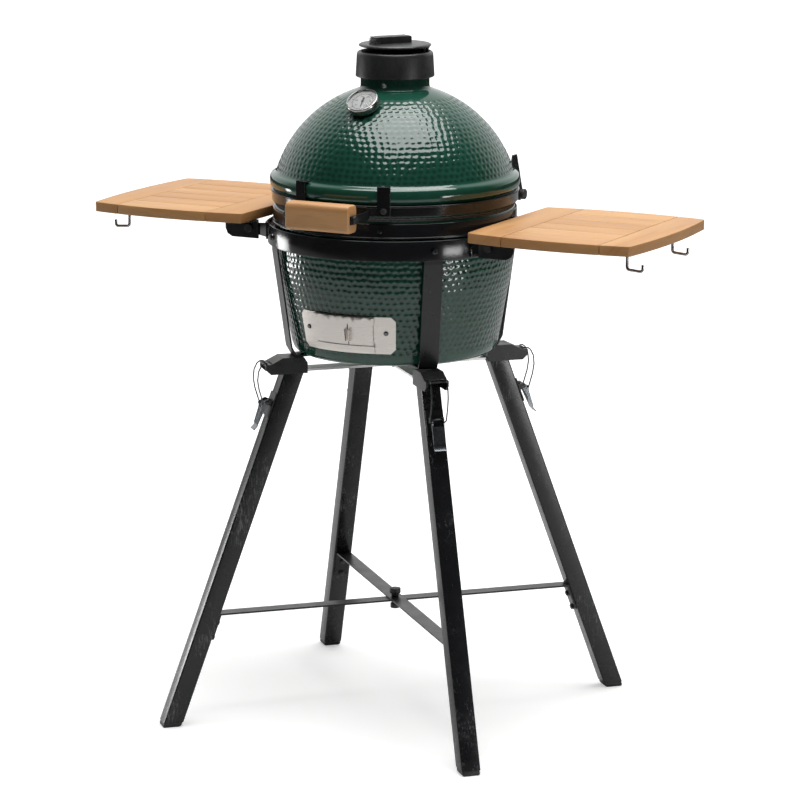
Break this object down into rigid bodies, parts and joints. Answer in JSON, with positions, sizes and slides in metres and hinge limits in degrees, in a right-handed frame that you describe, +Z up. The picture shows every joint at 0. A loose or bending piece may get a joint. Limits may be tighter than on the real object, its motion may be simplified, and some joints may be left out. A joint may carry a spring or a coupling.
{
  "type": "ceramic charcoal grill with stand",
  "caption": "Egg-shaped ceramic charcoal grill with hinged dome, vent cap, draft door and fold-down wooden side shelves, held in a ring on a splayed square-tube leg stand.",
  "frame": {"origin": "on the floor, under the middle of the egg and of the four feet", "axes": "+Z up; -Y is the front, with the handle and the draft door; the side shelves are at +X and -X"},
  "size_m": [1.0137, 0.6052, 1.1493],
  "materials": {
    "powder_black": "glossy black powder coat with light scuffs",
    "black_plastic": "moulded",
    "dark_bolt": "blackened",
    "bright_bolt": "zinc plated",
    "green_glaze": "glossy deep green glaze with hammered dimples",
    "fire_clay": "matt refractory clay",
    "iron": "raw casting",
    "stainless": "brushed stainless",
    "felt": "grey felt",
    "shelf_wood": "oiled hardwood boards",
    "grip_wood": "oiled hardwood",
    "chrome_trim": "polished",
    "dial_face": "printed ring of ticks",
    "needle_black": "satin",
    "clear_glass": "clear",
    "cap_iron": "matt charcoal coating",
    "spring_steel": "plain",
    "lever_steel": "plated"
  },
  "bodies": {
    "stand": {"legs_front": "powder_black", "legs_back": "powder_black", "foot_plugs": "black_plastic", "brace_lower": "powder_black", "brace_upper": "powder_black", "brace_bolts": "dark_bolt", "leg_brackets": "powder_black", "base_beams": "stainless", "beam_bolt": "bright_bolt", "cradle_straps": "powder_black", "carrier_ring": "powder_black", "latch_plates": "powder_black", "latch_rivets": "bright_bolt", "base_shell": "green_glaze", "fire_box": "fire_clay", "fire_ring": "fire_clay", "fire_grate": "iron", "cooking_grid": "stainless", "base_gasket": "felt", "base_band": "powder_black", "base_bolts": "bright_bolt", "door_frame": "stainless", "door_screws": "stainless", "hinge_bracket_lower": "powder_black", "hinge_shaft": "dark_bolt", "hinge_springs": "spring_steel", "shelf_brackets": "bright_bolt", "shelf_pivot_bolts": "dark_bolt"},
    "lid": {"dome": "green_glaze", "dome_gasket": "felt", "dome_band": "powder_black", "dome_clips": "powder_black", "dome_bolts": "dark_bolt", "hinge_bracket_upper": "powder_black", "handle_bracket": "powder_black", "handle_grip": "grip_wood", "handle_rod": "dark_bolt", "thermometer_case": "chrome_trim", "thermometer_dial": "dial_face", "thermometer_glass": "clear_glass", "cap_body": "cap_iron"},
    "needle": {"thermometer_needle": "needle_black"},
    "damper": {"cap_damper": "cap_iron"},
    "flap": {"cap_flap": "cap_iron"},
    "draft_left": {"door_panel_left": "stainless"},
    "draft_right": {"door_panel_right": "stainless"},
    "left_shelf": {"shelf_left": "shelf_wood", "shelf_irons_left": "powder_black"},
    "right_shelf": {"shelf_right": "shelf_wood", "shelf_irons_right": "powder_black"},
    "knob": {"brace_knob": "black_plastic"},
    "lever_1": {"latch_1": "lever_steel"},
    "wire_1": {"bail_1": "spring_steel"},
    "lever_2": {"latch_2": "lever_steel"},
    "wire_2": {"bail_2": "spring_steel"},
    "lever_3": {"latch_3": "lever_steel"},
    "wire_3": {"bail_3": "spring_steel"},
    "lever_4": {"latch_4": "lever_steel"},
    "wire_4": {"bail_4": "spring_steel"}
  },
  "joints": [
    {"name": "lid_hinge", "type": "hinge", "parent": "stand", "child": "lid", "pos_m": [0, 0.245, 0.86], "axis": [-1, 0, 0], "range_deg": [0, 65]},
    {"name": "left_shelf_fold", "type": "hinge", "parent": "stand", "child": "left_shelf", "pos_m": [-0.222, 0, 0.826], "axis": [0, -1, 0], "range_deg": [0, 90]},
    {"name": "right_shelf_fold", "type": "hinge", "parent": "stand", "child": "right_shelf", "pos_m": [0.222, 0, 0.826], "axis": [0, 1, 0], "range_deg": [0, 90]},
    {"name": "draft_left_slide", "type": "hinge", "parent": "stand", "child": "draft_left", "pos_m": [0, 0, 0.678], "axis": [0, 0, -1], "range_deg": [0, 10.5]},
    {"name": "draft_right_slide", "type": "hinge", "parent": "stand", "child": "draft_right", "pos_m": [0, 0, 0.678], "axis": [0, 0, 1], "range_deg": [0, 10.5]},
    {"name": "thermometer_needle_turn", "type": "hinge", "parent": "lid", "child": "needle", "pos_m": [0, -0.1156, 1.0546], "axis": [0, 0.5878, -0.809], "range_deg": [0, 235], "stiffness_Nm_per_rad": 0.0002},
    {"name": "damper_turn", "type": "hinge", "parent": "lid", "child": "damper", "pos_m": [0, 0, 1.11], "axis": [0, 0, 1], "range_deg": [0, 36]},
    {"name": "flap_hinge", "type": "hinge", "parent": "lid", "child": "flap", "pos_m": [0.03187, 0.04725, 1.1284], "axis": [-0.829, 0.5592, 0], "range_deg": [0, 80]},
    {"name": "latch_1_lever", "type": "hinge", "parent": "stand", "child": "lever_1", "pos_m": [0.15876, 0.15876, 0.54699], "axis": [0.7071, -0.7071, 0], "range_deg": [0, 110]},
    {"name": "latch_1_bail", "type": "hinge", "parent": "lever_1", "child": "wire_1", "pos_m": [0.16474, 0.16474, 0.54392], "axis": [0.7071, -0.7071, 0], "range_deg": [-132.1, 0]},
    {"name": "latch_2_lever", "type": "hinge", "parent": "stand", "child": "lever_2", "pos_m": [-0.15876, 0.15876, 0.54699], "axis": [0.7071, 0.7071, 0], "range_deg": [0, 110]},
    {"name": "latch_2_bail", "type": "hinge", "parent": "lever_2", "child": "wire_2", "pos_m": [-0.16474, 0.16474, 0.54392], "axis": [0.7071, 0.7071, 0], "range_deg": [-132.1, 0]},
    {"name": "latch_3_lever", "type": "hinge", "parent": "stand", "child": "lever_3", "pos_m": [-0.15876, -0.15876, 0.54699], "axis": [-0.7071, 0.7071, 0], "range_deg": [0, 110]},
    {"name": "latch_3_bail", "type": "hinge", "parent": "lever_3", "child": "wire_3", "pos_m": [-0.16474, -0.16474, 0.54392], "axis": [-0.7071, 0.7071, 0], "range_deg": [-132.1, 0]},
    {"name": "latch_4_lever", "type": "hinge", "parent": "stand", "child": "lever_4", "pos_m": [0.15876, -0.15876, 0.54699], "axis": [-0.7071, -0.7071, 0], "range_deg": [0, 110]},
    {"name": "latch_4_bail", "type": "hinge", "parent": "lever_4", "child": "wire_4", "pos_m": [0.16474, -0.16474, 0.54392], "axis": [-0.7071, -0.7071, 0], "range_deg": [-132.1, 0]},
    {"name": "brace_knob_turn", "type": "hinge", "parent": "stand", "child": "knob", "pos_m": [0, 0, 0.19], "axis": [0, 0, 1], "continuous": true}
  ],
  "couplings": [
    {"joint": "latch_1_bail", "follows": "latch_1_lever", "ratio": -1.2},
    {"joint": "latch_2_bail", "follows": "latch_2_lever", "ratio": -1.2},
    {"joint": "latch_3_bail", "follows": "latch_3_lever", "ratio": -1.2},
    {"joint": "latch_4_bail", "follows": "latch_4_lever", "ratio": -1.2}
  ]
}
